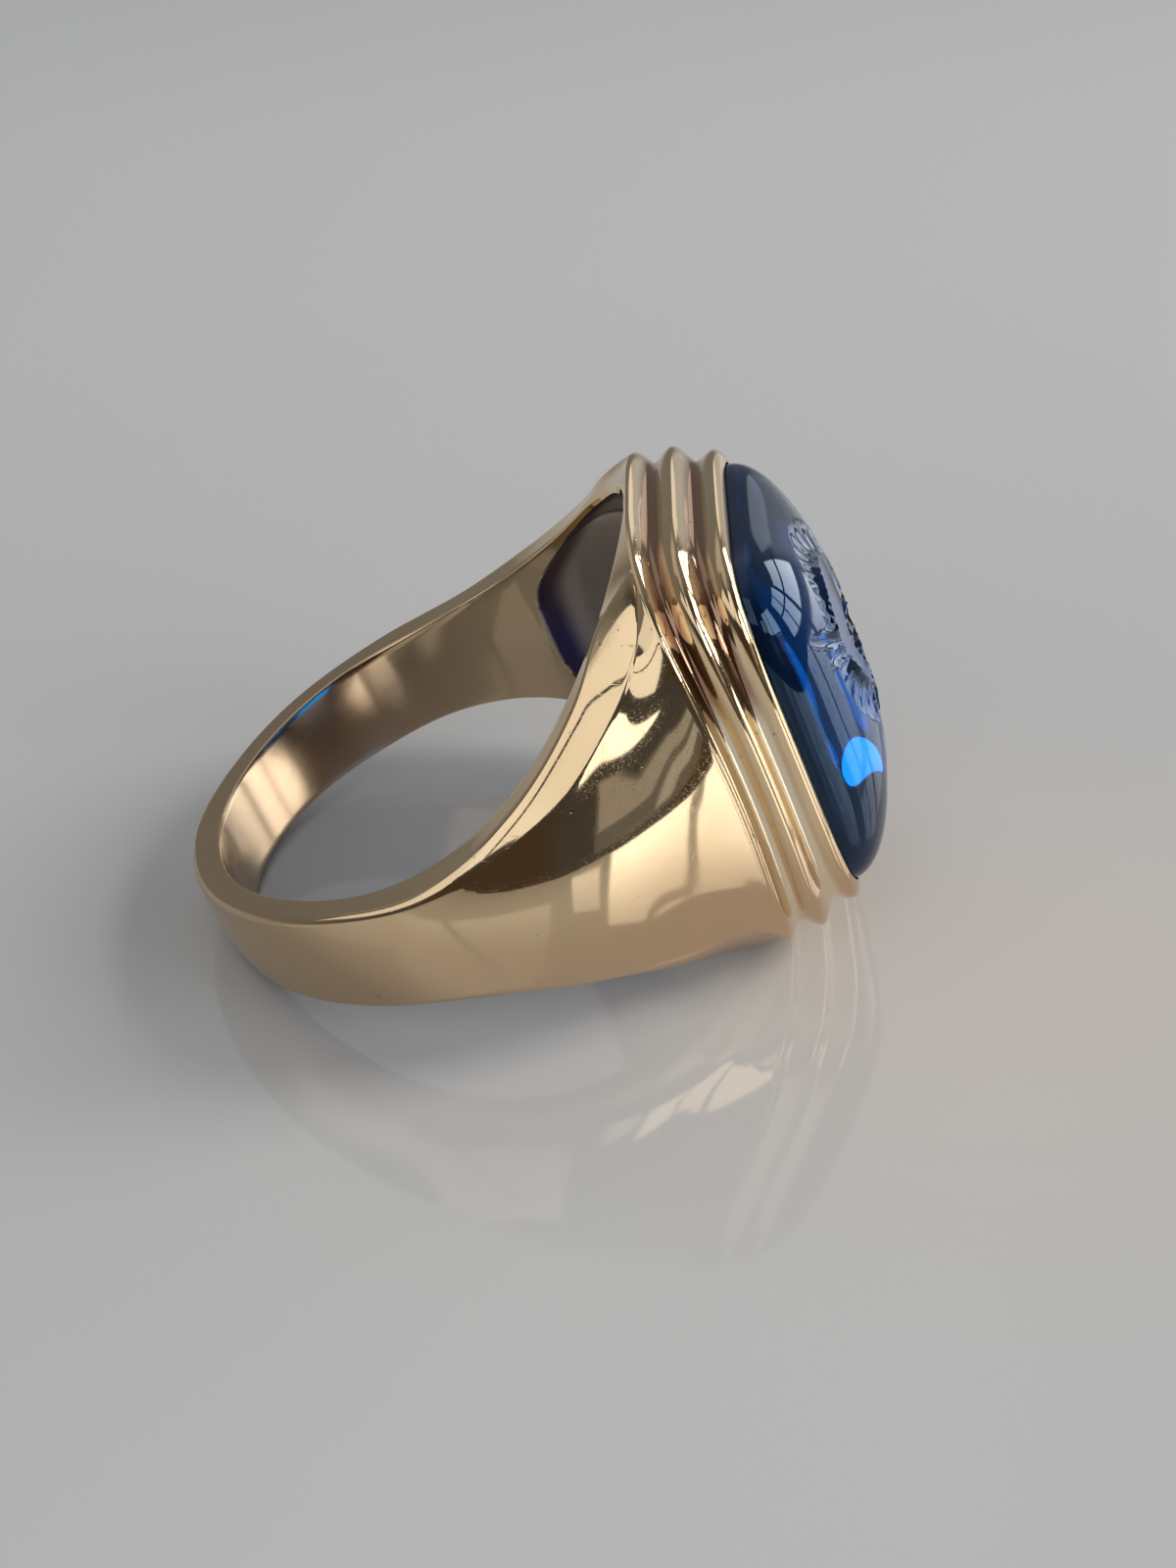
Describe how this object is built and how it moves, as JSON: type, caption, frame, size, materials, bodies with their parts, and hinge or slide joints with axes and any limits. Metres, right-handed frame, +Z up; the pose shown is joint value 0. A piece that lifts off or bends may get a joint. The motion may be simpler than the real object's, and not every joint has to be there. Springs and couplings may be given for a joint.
{
  "type": "intaglio signet ring",
  "caption": "Heavy gold signet ring with widening shoulders, a ribbed cushion bezel and a domed dark blue stone carved in intaglio, lying on its side.",
  "frame": {"origin": "middle of the finger hole, on its axis, level with the middle of the stone", "axes": "+X towards the stone, along the table that the ring lies on; +Z up from that table, leaned 18.9 degrees from the finger axis; Y across the ring"},
  "size_m": [0.0271, 0.0236, 0.0168],
  "materials": {
    "gold": "polished",
    "blue_stone": "polished"
  },
  "bodies": {
    "root": {"ring_body": "gold", "intaglio_stone": "blue_stone"}
  },
  "joints": []
}
